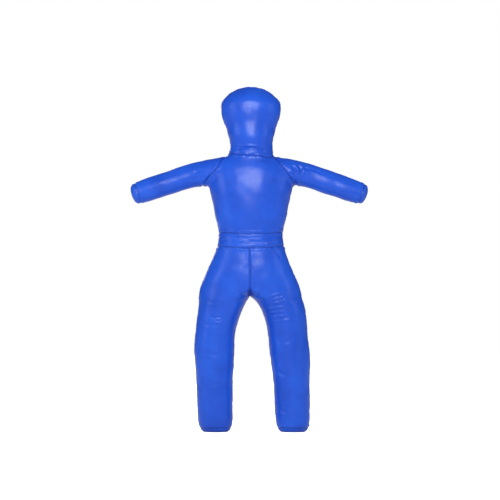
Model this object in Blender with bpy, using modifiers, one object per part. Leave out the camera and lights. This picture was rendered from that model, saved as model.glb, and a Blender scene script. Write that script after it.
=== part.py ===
"""Grappling dummy: a leather body sewn from panels, packed with textile filling, closed by a zip in the back.

Metres, +Z up, the dummy stands on its two soles and faces -Y. Its own left side is at +X.
Each panel is an open surface with a Solidify, and each length of filling is a loft inside its panels.
The filling bends at ball-ended knuckles: the end of one length is round about the joint, and its
neighbour has a round seat for it.
"""

import math

import bmesh
import bpy
from mathutils import Matrix, Vector

# Driving dimensions
NECK_Z = 1.136
BAND_TOP = 0.806
BAND_BOTTOM = 0.750
KNEE_SPLIT = 0.445
LEG_TOP = 0.545
PELVIS_LOW = 0.612
SOLE_TOP = 0.012

LEATHER = 0.0020
SEAM_GAP = 0.0003
PANEL_GAP = 0.0006
ARMHOLE_GAP = 0.0022
FILL_INSET = LEATHER + 0.0026
DEEP_INSET = 0.0070
KNUCKLE_GAP = 0.0030

# Outlines: height and half width or half depth
HEAD_WIDTHS = ((1.136, 0.0855), (1.165, 0.0850), (1.200, 0.0915), (1.240, 0.1020), (1.275, 0.1120),
               (1.310, 0.1180), (1.335, 0.1155), (1.358, 0.1000), (1.380, 0.0720), (1.400, 0.0200))
HEAD_DEPTHS = ((1.136, 0.0700), (1.165, 0.0700), (1.210, 0.0760), (1.270, 0.0890), (1.310, 0.0930),
               (1.340, 0.0840), (1.365, 0.0600), (1.385, 0.0330), (1.400, 0.0040))
TORSO_WIDTHS = ((0.750, 0.1350), (0.780, 0.1300), (0.815, 0.1310), (0.860, 0.1390), (0.910, 0.1490),
                (0.950, 0.1590), (0.980, 0.1740), (1.010, 0.2000), (1.040, 0.1900), (1.070, 0.1700),
                (1.100, 0.1350), (1.116, 0.1008), (1.136, 0.0865))
CHEST_DEPTHS = ((0.750, 0.0960), (0.780, 0.0930), (0.815, 0.0935), (0.860, 0.0970), (0.920, 0.1020),
                (0.970, 0.1035), (1.020, 0.1010), (1.060, 0.0940), (1.100, 0.0820), (1.136, 0.0710))
BACK_DEPTHS = ((0.750, 0.0960), (0.780, 0.0935), (0.815, 0.0950), (0.840, 0.0980), (0.850, 0.0980),
               (0.960, 0.0980), (1.075, 0.0980), (1.085, 0.0970), (1.115, 0.0840), (1.136, 0.0710))
PELVIS_WIDTHS = ((0.530, 0.2130), (0.560, 0.2080), (0.600, 0.1960), (0.650, 0.1740), (0.690, 0.1560),
                 (0.720, 0.1450), (0.750, 0.1350), (0.780, 0.1300))
PELVIS_DEPTHS = ((0.545, 0.0940), (0.600, 0.1010), (0.650, 0.1020), (0.700, 0.0990), (0.750, 0.0950),
                 (0.780, 0.0930))
LEG_CENTRES = {
    "left": ((0.010, 0.1750), (0.050, 0.1745), (0.150, 0.1730), (0.250, 0.1685), (0.340, 0.1620),
             (0.400, 0.1545), (0.460, 0.1440), (0.520, 0.1250), (0.545, 0.1110)),
    "right": ((0.010, 0.1390), (0.050, 0.1405), (0.150, 0.1425), (0.250, 0.1440), (0.340, 0.1445),
              (0.400, 0.1410), (0.460, 0.1290), (0.520, 0.1130), (0.545, 0.1060)),
}
LEG_WIDTHS = ((0.010, 0.0600), (0.030, 0.0645), (0.100, 0.0690), (0.200, 0.0715), (0.280, 0.0765),
              (0.340, 0.0785), (0.400, 0.0775), (0.460, 0.0835), (0.520, 0.0930), (0.545, 0.0985))
LEG_DEPTHS = ((0.010, 0.0600), (0.030, 0.0665), (0.100, 0.0710), (0.200, 0.0740), (0.340, 0.0780),
              (0.400, 0.0790), (0.460, 0.0830), (0.545, 0.0930))

# Joint centres, and the round end of the filling at each: half width and radius about the joint's axis
NECK_PIVOT, NECK_END = (0.0, 0.0, 1.152), (0.0790, 0.0640)
WAIST_PIVOT, WAIST_END = (0.0, 0.0, 0.780), (0.1180, 0.0880)
HIP_PIVOT, HIP_END = {"left": (0.114, 0.0, 0.578), "right": (0.111, 0.0, 0.578)}, (0.0760, 0.0840)
KNEE_PIVOT, KNEE_END = {"left": (0.157, 0.0, 0.380), "right": (0.144, 0.0, 0.380)}, (0.0700, 0.0745)
SHOULDER_END = 0.0400
ARM_END = 0.0400

# Arm: a slanted armhole from the top of the shoulder to the armpit, then a straight sleeve
ARMHOLE_TOP = Vector((0.1015, 0.0, 1.116))
ARMHOLE_PIT = Vector((0.1900, 0.0, 0.995))
ARMHOLE_DEPTH = 0.0640
ARM_SLOPE = math.radians(18.3)
ARM_OUT = Vector((math.cos(ARM_SLOPE), 0.0, -math.sin(ARM_SLOPE)))
ARM_UP = Vector((math.sin(ARM_SLOPE), 0.0, math.cos(ARM_SLOPE)))
RAISE_PIVOT = Vector((0.178, 0.0, 1.0565))
SWING_DISTANCE = 0.0850
SLEEVE_START = 0.0560
SLEEVE_END = 0.2960
SLEEVE_RADII = ((0.0, 0.0500), (0.056, 0.0488), (0.160, 0.0468), (0.270, 0.0445), (0.296, 0.0395))
ARM_CAP_RADIUS, ARM_CAP_BULGE = 0.0385, 0.0085

# Zip in the middle of the back
BACK_FACE = 0.0980
ZIP_LOW, ZIP_HIGH = 0.860, 1.060
ZIP_OPENING = 0.0072
TOOTH_PITCH = 0.0080
CHAIN_WIDTH, CHAIN_LOW, CHAIN_HIGH = 0.0030, 0.0937, 0.0965
TAPE_WIDTH, TAPE_LOW, TAPE_HIGH = 0.0150, 0.0943, 0.0950
SLIDER_WIDTH, SLIDER_LENGTH, SLIDER_LOW, SLIDER_HIGH = 0.0126, 0.0150, 0.0917, 0.1002
SLIDER_REST = ZIP_HIGH - 0.0090
PULL_Z, PULL_Y = ZIP_HIGH - 0.0020, 0.10135
PULL_WIDTH, PULL_LENGTH, PULL_THICK = 0.0085, 0.0290, 0.0013

SIDES = {"left": 1.0, "right": -1.0}
RING = 18
SPAN = 10

BLUE = (0.012, 0.075, 0.700, 1.0)
BLUE_TAPE = (0.010, 0.050, 0.420, 1.0)
STEEL = (0.550, 0.560, 0.580, 1.0)
RAG = (0.420, 0.400, 0.360, 1.0)



def start_clean():
    for obj in list(bpy.data.objects):
        bpy.data.objects.remove(obj, do_unlink=True)


def new_collection(name):
    collection = bpy.data.collections.new(name)
    bpy.context.scene.collection.children.link(collection)
    return collection


def material(name, colour, roughness, metallic=0.0):
    made = bpy.data.materials.new(name)
    made.use_nodes = True
    shader = made.node_tree.nodes["Principled BSDF"]
    shader.inputs["Base Color"].default_value = colour
    shader.inputs["Roughness"].default_value = roughness
    shader.inputs["Metallic"].default_value = metallic
    return made


start_clean()
PARTS = new_collection("grappling_dummy")
CUTTERS = new_collection("cutters")
LEATHER_BLUE = material("leather_blue", BLUE, 0.38)
TAPE_BLUE = material("zip_tape_blue", BLUE_TAPE, 0.85)
NICKEL = material("zip_metal", STEEL, 0.3, 1.0)
FILLING = material("textile_filling", RAG, 0.95)


# Outlines and rings

def along(points, t):
    """The value at t of a smooth curve through points (position, value)."""
    if t <= points[0][0]:
        return points[0][1]
    if t >= points[-1][0]:
        return points[-1][1]
    i = max(k for k in range(len(points) - 1) if points[k][0] <= t)
    (x0, y0), (x1, y1) = points[i], points[i + 1]
    before = points[i - 1] if i else points[i]
    after = points[i + 2] if i + 2 < len(points) else points[i + 1]
    slope0 = (y1 - before[1]) / (x1 - before[0])
    slope1 = (after[1] - y0) / (after[0] - x0)
    h = x1 - x0
    s = (t - x0) / h
    return ((2 * s**3 - 3 * s**2 + 1) * y0 + (s**3 - 2 * s**2 + s) * h * slope0
            + (3 * s**2 - 2 * s**3) * y1 + (s**3 - s**2) * h * slope1)


def arc(low, high, count):
    """Angles in radians from low to high degrees: 0 is at +X, and 270 faces front."""
    return [math.radians(low + (high - low) * i / (count - 1)) for i in range(count)]


FULL_TURN = arc(0, 360 - 360 / RING, RING)


def superellipse(half_width, half_depth, angle, power):
    c, s = math.cos(angle), math.sin(angle)
    return (half_width * math.copysign(abs(c) ** (2 / power), c),
            half_depth * math.copysign(abs(s) ** (2 / power), s))


def level_ring(centre_x, half_width, half_depth, z, angles, power=2.1):
    points = [superellipse(half_width, half_depth, angle, power) for angle in angles]
    return [(centre_x + x, y, z) for x, y in points]


def on_front(ring):
    """Keeps a front panel's ring on its own side of the side seams."""
    return [(x, min(y, -PANEL_GAP), z) for x, y, z in ring]


def on_back(ring):
    return [(x, max(y, PANEL_GAP), z) for x, y, z in ring]


def off_middle(ring, opening=PANEL_GAP):
    """Keeps a left half's ring clear of the seam in the middle."""
    return [(max(x, opening), y, z) for x, y, z in ring]


def dome_rings(centre, end, upwards, count=5):
    """Rings from low to high of a round end, from its joint centre's level to near its pole."""
    half_width, radius = end
    rings = []
    for step in range(count + 1):
        angle = math.radians(82.0 * step / count)
        share = math.cos(angle)
        rise = radius * math.sin(angle) * (1 if upwards else -1)
        rings.append(level_ring(centre[0], half_width * share, radius * share, centre[2] + rise,
                                FULL_TURN, 2.0))
    return rings if upwards else rings[::-1]


# Meshes

def ring_mesh(name, rings, look, closed, capped, side):
    """Faces between rings that run up or outwards. The right side's copy is mirrored."""
    per_ring = len(rings[0])
    points = [point for ring in rings for point in ring]
    faces = []
    for row in range(len(rings) - 1):
        for i in range(per_ring if closed else per_ring - 1):
            j = (i + 1) % per_ring
            low, high = row * per_ring, (row + 1) * per_ring
            faces.append((low + i, low + j, high + j, high + i))
    if capped:
        last = (len(rings) - 1) * per_ring
        faces.append(tuple(reversed(range(per_ring))))
        faces.append(tuple(range(last, last + per_ring)))
    if side == "right":
        points = [(-x, y, z) for x, y, z in points]
        faces = [tuple(reversed(face)) for face in faces]
    mesh = bpy.data.meshes.new(name)
    mesh.from_pydata(points, [], faces)
    mesh.materials.append(look)
    mesh.shade_smooth()
    made = bpy.data.objects.new(name, mesh)
    PARTS.objects.link(made)
    return made


def panel(name, rings, side="left", closed=False, trim=None):
    """A sheet of leather through open rings, thickened towards the inside."""
    made = ring_mesh(name, rings, LEATHER_BLUE, closed, False, side)
    if trim:
        trim(made)
    thick = made.modifiers.new("thickness", "SOLIDIFY")
    thick.thickness = LEATHER
    thick.offset = -1.0
    return made


def stuffing(name, rings, side="left"):
    """A closed length of filling through full rings."""
    made = ring_mesh(name, rings, FILLING, True, True, side)
    made.data.set_sharp_from_angle(angle=math.radians(50))
    return made


def turned(name, profile, look, place, direction=Vector((0, 0, 1))):
    """A body turned about its own Z from a profile (radius, height), set at place along direction."""
    mesh = bpy.data.meshes.new(name)
    points = [(radius, 0.0, height) for radius, height in profile]
    mesh.from_pydata(points, [(i, i + 1) for i in range(len(points) - 1)], [])
    mesh.materials.append(look)
    made = bpy.data.objects.new(name, mesh)
    PARTS.objects.link(made)
    screw = made.modifiers.new("turn", "SCREW")
    screw.steps = screw.render_steps = RING
    screw.use_merge_vertices = True
    screw.merge_threshold = 0.00001
    made.location = place
    made.rotation_euler = direction.to_track_quat("Z", "Y").to_euler()
    return made


def block(name, low, high, look):
    """A box between two corners, with its origin in its middle."""
    centre = [(a + b) / 2 for a, b in zip(low, high)]
    bpy.ops.mesh.primitive_cube_add(size=1.0, location=centre)
    made = bpy.context.object
    made.name = made.data.name = name
    for vertex in made.data.vertices:
        vertex.co = [c * (b - a) for c, a, b in zip(vertex.co, low, high)]
    if look:
        made.data.materials.append(look)
    move_to(made, PARTS if look else CUTTERS)
    return made


def move_to(obj, collection):
    for old in list(obj.users_collection):
        old.objects.unlink(obj)
    collection.objects.link(obj)


def cut(obj, cutter):
    cutter.hide_render = True
    cutter.display_type = "WIRE"
    boolean = obj.modifiers.new("cut", "BOOLEAN")
    boolean.operation = "DIFFERENCE"
    boolean.solver = "EXACT"
    boolean.object = cutter


def cut_box(obj, low, high):
    cut(obj, block(f"cut_{obj.name}", low, high, None))


def cut_seat(obj, centre, end, gap=KNUCKLE_GAP):
    """A round seat for a neighbour's round end, with its poles on the joint's axis."""
    bpy.ops.mesh.primitive_uv_sphere_add(
        segments=22, ring_count=10, radius=1.0, location=centre, rotation=(0, math.radians(90), 0))
    cutter = bpy.context.object
    cutter.name = f"seat_{obj.name}"
    size = (end[1] + gap, end[1] + gap, end[0] + gap)
    for vertex in cutter.data.vertices:
        vertex.co = [c * s for c, s in zip(vertex.co, size)]
    move_to(cutter, CUTTERS)
    cut(obj, cutter)


def joint(name, place, pieces, parent=None):
    """An empty on a joint's axis. Its pieces hang on it where they were built."""
    empty = bpy.data.objects.new(name, None)
    PARTS.objects.link(empty)
    empty.location = place
    bpy.context.view_layer.update()
    if parent:
        empty.parent = parent
        empty.matrix_parent_inverse = parent.matrix_world.inverted()
    for piece in pieces:
        piece.parent = empty
        piece.matrix_parent_inverse = Matrix.Translation(Vector(place)).inverted()
    bpy.context.view_layer.update()
    return empty


def on_side(side, place):
    return (SIDES[side] * place[0], place[1], place[2])


# Head

def head_ring(z, angles, inset=0.0):
    return level_ring(0.0, along(HEAD_WIDTHS, z) - inset, along(HEAD_DEPTHS, z) - inset, z, angles)


def make_head():
    heights = (NECK_Z + SEAM_GAP / 2, 1.160, 1.190, 1.225, 1.265, 1.295, 1.320, 1.342, 1.362, 1.380, 1.392,
               1.400)
    front = panel("head_cover_front", [on_front(head_ring(z, arc(180, 360, SPAN))) for z in heights])
    back = panel("head_cover_back", [on_back(head_ring(z, arc(0, 180, SPAN))) for z in heights])
    rings = dome_rings(NECK_PIVOT, NECK_END, False)
    rings += [head_ring(z, FULL_TURN, DEEP_INSET) for z in heights[2:9]]
    fill = stuffing("head_fill", rings)
    joint("neck_joint", NECK_PIVOT, [front, back, fill])


# Torso

ARMHOLE_RISE = (ARMHOLE_TOP - ARMHOLE_PIT).normalized()
ARMHOLE_OUT = Vector((ARMHOLE_RISE.z, 0.0, -ARMHOLE_RISE.x))


def torso_ring(z, angles, inset=0.0):
    front = level_ring(0.0, along(TORSO_WIDTHS, z) - inset, along(CHEST_DEPTHS, z) - inset, z, angles, 2.35)
    back = level_ring(0.0, along(TORSO_WIDTHS, z) - inset, along(BACK_DEPTHS, z) - inset, z, angles, 2.35)
    return [f if f[1] < 0 else b for f, b in zip(front, back)]


def trim_armholes(made, gap=SEAM_GAP):
    """Cuts away what is beyond the armholes' slanted planes, and closes the cut of a solid."""
    work = bmesh.new()
    work.from_mesh(made.data)
    solid = all(edge.is_manifold for edge in work.edges)
    for sign in SIDES.values():
        below = [v for v in work.verts if solid or v.co.z < ARMHOLE_TOP.z + SEAM_GAP]
        low = set(below)
        edges = [e for e in work.edges if all(v in low for v in e.verts)]
        faces = [f for f in work.faces if all(v in low for v in f.verts)]
        place = ARMHOLE_PIT - ARMHOLE_OUT * gap
        bmesh.ops.bisect_plane(
            work, geom=below + edges + faces, dist=1e-7, clear_outer=True,
            plane_co=(sign * place.x, place.y, place.z),
            plane_no=(sign * ARMHOLE_OUT.x, 0.0, ARMHOLE_OUT.z))
        if solid:
            bmesh.ops.holes_fill(work, edges=[e for e in work.edges if e.is_boundary], sides=0)
    work.to_mesh(made.data)
    work.free()


def torso_heights():
    return (BAND_TOP + SEAM_GAP / 2, 0.846, 0.850, 0.900, 0.950, 0.985, 1.015, 1.045, 1.076, 1.080, 1.100,
            ARMHOLE_TOP.z, NECK_Z - SEAM_GAP / 2)


def zip_clearance(z):
    """Half the space between the back panels: open beside the zip, sewn shut above and below it."""
    return ZIP_OPENING if 0.849 < z < 1.077 else PANEL_GAP


def make_torso():
    heights = torso_heights()
    rings = [on_front(torso_ring(z, arc(180, 360, 15))) for z in heights]
    panel("torso_cover_front", rings, trim=trim_armholes)
    for side in SIDES:
        rings = [off_middle(on_back(torso_ring(z, arc(0, 90, 8))), zip_clearance(z)) for z in heights]
        panel(f"torso_cover_back_{side}", rings, side, trim=trim_armholes)
    low = WAIST_PIVOT[2] + WAIST_END[1] * math.tan(math.radians(20)) + 0.016
    high = NECK_PIVOT[2] - NECK_END[1] * math.tan(math.radians(15)) - 0.004
    heights = [low, 0.850, 0.900, 0.950, 0.990, 1.030, 1.070, 1.100, ARMHOLE_TOP.z, high]
    fill = stuffing("torso_fill", [torso_ring(z, FULL_TURN, DEEP_INSET) for z in heights])
    trim_armholes(fill, 2 * FILL_INSET)
    cut_seat(fill, NECK_PIVOT, NECK_END)
    cut_seat(fill, WAIST_PIVOT, WAIST_END)
    for side in SIDES:
        cut_seat(fill, on_side(side, RAISE_PIVOT), (SHOULDER_END, SHOULDER_END), 0.011)
    cut_box(fill, (-0.0165, 0.0885, ZIP_LOW - 0.016), (0.0165, 0.12, ZIP_HIGH + 0.024))


# Arms

def arm_ring(distance, radius):
    """A round section of the arm, at a distance outwards from the shoulder's joint."""
    centre = RAISE_PIVOT + ARM_OUT * distance
    points = []
    for angle in FULL_TURN:
        offset = Vector((0, radius * math.cos(angle), 0)) + ARM_UP * (radius * math.sin(angle))
        points.append(tuple(centre + offset))
    return points


def shoulder_ring(share):
    """A section between the armhole, at 0, and the sleeve's first section, at 1."""
    start = RAISE_PIVOT + ARM_OUT * SLEEVE_START
    radius = along(SLEEVE_RADII, SLEEVE_START)
    armhole = ARMHOLE_OUT * ARMHOLE_GAP
    top = (ARMHOLE_TOP + armhole).lerp(start + ARM_UP * radius, share)
    bottom = (ARMHOLE_PIT + armhole).lerp(start - ARM_UP * radius, share)
    top += Vector((0, 0, 0.012)) * share * (1 - share)
    depth = ARMHOLE_DEPTH + (radius - ARMHOLE_DEPTH) * share
    middle, half = (top + bottom) / 2, (top - bottom) / 2
    return [tuple(middle + Vector((0, depth * math.cos(a), 0)) + half * math.sin(a)) for a in FULL_TURN]


def arm_dome(distance, radius):
    """The round end of a length of filling, about a point of the arm's axis, from its pole outwards."""
    rings = []
    for step in range(5, 0, -1):
        angle = math.radians(16.4 * step)
        rings.append(arm_ring(distance - radius * math.sin(angle), radius * math.cos(angle)))
    return rings


def make_arm(side):
    shoulder = panel(f"shoulder_cover_{side}", [shoulder_ring(s) for s in (0.0, 0.33, 0.67, 1.0)], side, True)
    distances = (SLEEVE_START + 2 * SEAM_GAP, 0.110, 0.170, 0.230, 0.270, 0.287, SLEEVE_END)
    sleeve = panel(f"arm_cover_{side}", [arm_ring(d, along(SLEEVE_RADII, d)) for d in distances], side, True)
    outer_end = SWING_DISTANCE - ARM_END * math.tan(math.radians(22.5)) - 0.005
    rings = arm_dome(0.0, SHOULDER_END) + [arm_ring(0.0, SHOULDER_END), arm_ring(outer_end, SHOULDER_END)]
    shoulder_fill = stuffing(f"shoulder_fill_{side}", rings, side)
    swing = RAISE_PIVOT + ARM_OUT * SWING_DISTANCE
    cut_seat(shoulder_fill, on_side(side, swing), (ARM_END, ARM_END))
    rings = arm_dome(SWING_DISTANCE, ARM_END) + [arm_ring(SWING_DISTANCE, ARM_END)]
    rings += [arm_ring(d, along(SLEEVE_RADII, d) - FILL_INSET) for d in (0.130, *distances[2:-1], SLEEVE_END - 0.003)]
    arm_fill = stuffing(f"arm_fill_{side}", rings, side)
    profile = [(ARM_CAP_RADIUS * i / 4, ARM_CAP_BULGE * (1 - (i / 4) ** 2)) for i in range(5)]
    profile += [(radius, height - LEATHER) for radius, height in reversed(profile)]
    place = RAISE_PIVOT + ARM_OUT * (SLEEVE_END + LEATHER + SEAM_GAP)
    direction = Vector(on_side(side, ARM_OUT))
    cap = turned(f"arm_end_cap_{side}", profile, LEATHER_BLUE, on_side(side, place), direction)
    raise_joint = joint(f"shoulder_joint_{side}", on_side(side, RAISE_PIVOT), [shoulder, shoulder_fill])
    joint(f"arm_joint_{side}", on_side(side, swing), [sleeve, arm_fill, cap], raise_joint)


# Waist, pelvis and legs

def pelvis_ring(z, angles, inset=0.0):
    return level_ring(0.0, along(PELVIS_WIDTHS, z) - inset, along(PELVIS_DEPTHS, z) - inset, z, angles, 2.3)


def leg_ring(side, z, angles, inset=0.0):
    """A leg's section, built on the left. Towards the pelvis it grows a flat inner side."""
    if z <= LEG_TOP:
        centre, half_width, half_depth = along(LEG_CENTRES[side], z), along(LEG_WIDTHS, z), along(LEG_DEPTHS, z)
        power = 2.1
    else:
        centre = half_width = (along(PELVIS_WIDTHS, z) + PANEL_GAP) / 2
        half_depth = along(PELVIS_DEPTHS, z)
        power = 2.1 + 2.0 * (z - LEG_TOP) / (PELVIS_LOW - LEG_TOP)
    return off_middle(level_ring(centre, half_width - inset, half_depth - inset, z, angles, power))


def trouser_ring(side, z, front):
    if z > PELVIS_LOW:
        ring = off_middle(pelvis_ring(z, arc(270, 360, SPAN) if front else arc(0, 90, SPAN)))
    else:
        ring = leg_ring(side, z, arc(180, 360, SPAN) if front else arc(0, 180, SPAN))
    return on_front(ring) if front else on_back(ring)


def make_pelvis():
    heights = (BAND_BOTTOM + SEAM_GAP / 2, 0.778, BAND_TOP - SEAM_GAP / 2)
    band = panel("waistband", [torso_ring(z, arc(0, 345, 24)) for z in heights], closed=True)
    rings = [pelvis_ring(z, FULL_TURN, FILL_INSET) for z in (0.628, 0.650, 0.680, 0.715, 0.744)]
    fill = stuffing("pelvis_fill", rings + dome_rings(WAIST_PIVOT, WAIST_END, True))
    for side in SIDES:
        cut_seat(fill, on_side(side, HIP_PIVOT[side]), HIP_END, 0.0095)
    waist = joint("waist_joint", WAIST_PIVOT, [band, fill])
    for side in SIDES:
        make_leg(side, waist)


def make_leg(side, waist):
    high = (KNEE_SPLIT + SEAM_GAP / 2, 0.480, 0.515, LEG_TOP, 0.570, 0.605, 0.625, 0.660, 0.700,
            BAND_BOTTOM - SEAM_GAP / 2)
    low = (SOLE_TOP + SEAM_GAP, 0.030, 0.080, 0.150, 0.220, 0.285, 0.335, 0.385, KNEE_SPLIT - SEAM_GAP / 2)
    trousers, shins = [], []
    for face, angles in (("front", arc(180, 360, SPAN)), ("back", arc(0, 180, SPAN))):
        front = face == "front"
        trousers.append(panel(f"trouser_{face}_{side}", [trouser_ring(side, z, front) for z in high], side))
        keep = on_front if front else on_back
        shins.append(panel(f"shin_cover_{face}_{side}", [keep(leg_ring(side, z, angles)) for z in low], side))
    for piece in trousers:
        piece.parent = waist
        piece.matrix_parent_inverse = Matrix.Translation(Vector(WAIST_PIVOT)).inverted()

    hip, knee = HIP_PIVOT[side], KNEE_PIVOT[side]
    bottom = knee[2] + KNEE_END[1] * math.tan(math.radians(27.5)) + 0.014
    rings = [leg_ring(side, z, FULL_TURN, FILL_INSET) for z in (bottom, 0.480, 0.515, LEG_TOP)]
    thigh_fill = stuffing(f"thigh_fill_{side}", rings + dome_rings(hip, HIP_END, True), side)
    cut_seat(thigh_fill, on_side(side, knee), KNEE_END)
    heights = (SOLE_TOP + 2 * SEAM_GAP, *low[1:7])
    rings = [leg_ring(side, z, FULL_TURN, FILL_INSET) for z in heights]
    shin_fill = stuffing(f"shin_fill_{side}", rings + dome_rings(knee, KNEE_END, True), side)
    profile = ((0.0, SOLE_TOP), (0.0600, SOLE_TOP), (0.0595, 0.0080), (0.0565, 0.0030), (0.0500, 0.0), (0.0, 0.0))
    foot = (along(LEG_CENTRES[side], 0.0), 0.0, 0.0)
    sole = turned(f"sole_{side}", profile, LEATHER_BLUE, on_side(side, foot))
    hip_joint = joint(f"hip_joint_{side}", on_side(side, hip), [thigh_fill], waist)
    joint(f"knee_joint_{side}", on_side(side, knee), [*shins, shin_fill, sole], hip_joint)


# Zip

def outline_object(name, splines, thickness, look, place):
    """A flat piece in the X-Z plane from closed outlines of (x, z), thickened along Y."""
    curve = bpy.data.curves.new(name, "CURVE")
    curve.dimensions = "2D"
    curve.fill_mode = "BOTH"
    curve.extrude = thickness / 2
    for points in splines:
        spline = curve.splines.new("POLY")
        spline.points.add(len(points) - 1)
        for target, (x, z) in zip(spline.points, points):
            target.co = (x, z, 0.0, 1.0)
        spline.use_cyclic_u = True
    curve.materials.append(look)
    made = bpy.data.objects.new(name, curve)
    PARTS.objects.link(made)
    made.location = place
    made.rotation_euler = (math.radians(90), 0, 0)
    return made


def tooth_edge(shift):
    """The wavy line along which the two rows of teeth interlock."""
    count = round((ZIP_HIGH - ZIP_LOW) / TOOTH_PITCH)
    points = []
    for tooth in range(count):
        z = tooth * TOOTH_PITCH
        points += [(shift - 0.0010, z + 0.0003), (shift - 0.0010, z + 0.0036),
                   (shift + 0.0010, z + 0.0043), (shift + 0.0010, z + 0.0076)]
    return points


def make_zip():
    length = ZIP_HIGH - ZIP_LOW
    middle = (CHAIN_LOW + CHAIN_HIGH) / 2
    for side, sign in SIDES.items():
        low, high = sorted((sign * (CHAIN_WIDTH + SEAM_GAP), sign * TAPE_WIDTH))
        block(f"zip_tape_{side}", (low, TAPE_LOW, ZIP_LOW - 0.013), (high, TAPE_HIGH, ZIP_HIGH + 0.017), TAPE_BLUE)
        edge = tooth_edge(sign * PANEL_GAP / 2)
        outline = edge + [(sign * CHAIN_WIDTH, length), (sign * CHAIN_WIDTH, 0.0)]
        outline_object(f"zip_teeth_{side}", [outline], CHAIN_HIGH - CHAIN_LOW, NICKEL, (0, middle, ZIP_LOW))
        low, high = sorted((sign * 0.0006, sign * CHAIN_WIDTH))
        block(f"zip_top_stop_{side}", (low, CHAIN_LOW, ZIP_HIGH + 0.0070), (high, CHAIN_HIGH, ZIP_HIGH + 0.0100),
              NICKEL)
    block("zip_bottom_stop", (-CHAIN_WIDTH, CHAIN_LOW, ZIP_LOW - 0.0060),
          (CHAIN_WIDTH, CHAIN_HIGH, ZIP_LOW - SEAM_GAP), NICKEL)
    slider = make_slider()
    pull = make_pull()
    travel = joint("zip_slider_joint", (0.0, BACK_FACE, SLIDER_REST), [slider])
    joint("zip_pull_joint", (0.0, PULL_Y, PULL_Z), [pull], travel)


def make_slider():
    """Top and bottom plates joined by a post at the nose, with a bail for the pull on top."""
    half, low, high = SLIDER_WIDTH / 2, SLIDER_REST, SLIDER_REST + SLIDER_LENGTH
    bail_top, bail_width, bail_reach, hole_reach = 0.1035, 0.0012, 0.0035, 0.0020
    post, post_low = 0.0016, ZIP_HIGH + 0.0012
    slider = block("zip_slider", (-half, SLIDER_LOW, low), (half, bail_top, high), NICKEL)
    cut_box(slider, (-0.0034, 0.0933, low - 0.001), (0.0034, 0.0969, post_low))
    for sign in SIDES.values():
        near, far = sorted((sign * post, sign * 0.0200))
        cut_box(slider, (near, 0.0933, post_low - 0.001), (far, 0.0969, high + 0.001))
        near, far = sorted((sign * 0.0030, sign * 0.0200))
        cut_box(slider, (near, 0.0941, low - 0.001), (far, 0.0957, high + 0.001))
        near, far = sorted((sign * bail_width, sign * 0.0200))
        cut_box(slider, (near, SLIDER_HIGH, low - 0.001), (far, 0.1100, high + 0.001))
    cut_box(slider, (-0.02, SLIDER_HIGH, low - 0.001), (0.02, 0.1100, PULL_Z - bail_reach))
    cut_box(slider, (-0.02, SLIDER_HIGH, PULL_Z + bail_reach), (0.02, 0.1100, high + 0.001))
    cut_box(slider, (-0.02, SLIDER_HIGH, PULL_Z - hole_reach), (0.02, 0.1025, PULL_Z + hole_reach))
    return slider


def make_pull():
    """A flat tab whose top bar turns in the slider's bail."""
    half, bar, window = PULL_WIDTH / 2, PULL_THICK / 2, 0.0021
    outline = [(half, bar), (-half, bar)]
    round_end = [(-half * math.cos(a), half * math.sin(a)) for a in arc(0, -180, 9)]
    outline += [(x, z - PULL_LENGTH + half) for x, z in round_end]
    hole = [(-window, -bar), (window, -bar), (window, -0.0065), (-window, -0.0065)]
    return outline_object("zip_pull", [outline, hole], PULL_THICK, NICKEL, (0, PULL_Y, PULL_Z))


make_head()
make_torso()
for arm in SIDES:
    make_arm(arm)
make_pelvis()
make_zip()
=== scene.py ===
"""Looks of the grappling dummy: one stuffed leather skin, cut into its sewn panels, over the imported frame.

Metres, +Z up. The dummy faces -Y and its own left side is at +X.
The skin starts as one closed form, is blown up a little as cloth, and is then cut along its seams.
Each panel bends with the two bodies it joins.
"""
import math

import bmesh
import bpy
import numpy as np
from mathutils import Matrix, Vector, kdtree, noise


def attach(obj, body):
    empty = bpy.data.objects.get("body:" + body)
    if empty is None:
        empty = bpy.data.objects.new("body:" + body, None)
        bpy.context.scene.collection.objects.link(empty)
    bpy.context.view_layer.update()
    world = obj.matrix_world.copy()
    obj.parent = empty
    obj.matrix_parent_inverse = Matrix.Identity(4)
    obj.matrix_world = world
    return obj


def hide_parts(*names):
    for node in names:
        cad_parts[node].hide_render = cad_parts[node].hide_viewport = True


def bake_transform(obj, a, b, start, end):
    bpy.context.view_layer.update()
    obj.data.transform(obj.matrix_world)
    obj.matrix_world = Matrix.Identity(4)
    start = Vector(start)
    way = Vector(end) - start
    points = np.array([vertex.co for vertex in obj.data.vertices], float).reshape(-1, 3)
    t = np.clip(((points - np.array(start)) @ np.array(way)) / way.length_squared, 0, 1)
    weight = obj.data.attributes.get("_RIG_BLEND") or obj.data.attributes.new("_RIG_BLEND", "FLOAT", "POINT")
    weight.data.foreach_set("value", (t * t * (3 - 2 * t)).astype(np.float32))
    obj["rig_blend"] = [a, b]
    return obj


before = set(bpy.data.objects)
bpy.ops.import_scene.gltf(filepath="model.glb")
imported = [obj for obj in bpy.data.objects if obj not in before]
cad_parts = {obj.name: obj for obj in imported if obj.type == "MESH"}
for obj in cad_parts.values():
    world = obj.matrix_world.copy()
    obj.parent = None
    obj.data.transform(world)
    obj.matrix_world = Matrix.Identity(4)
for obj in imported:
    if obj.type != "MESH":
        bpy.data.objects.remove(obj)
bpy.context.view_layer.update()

# Heights and places of the frame's joints and seams
NECK_SEAM, BAND_TOP, BAND_LOW, KNEE_SPLIT, SOLE_SEAM = 1.130, 0.806, 0.750, 0.445, 0.017
CROTCH_Z = 0.545
LEG_TOP, LEG_JOIN = 0.524, 0.066
ARM_SLOPE = math.radians(18.3)
ARM_OUT = np.array((math.cos(ARM_SLOPE), 0.0, -math.sin(ARM_SLOPE)))
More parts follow.
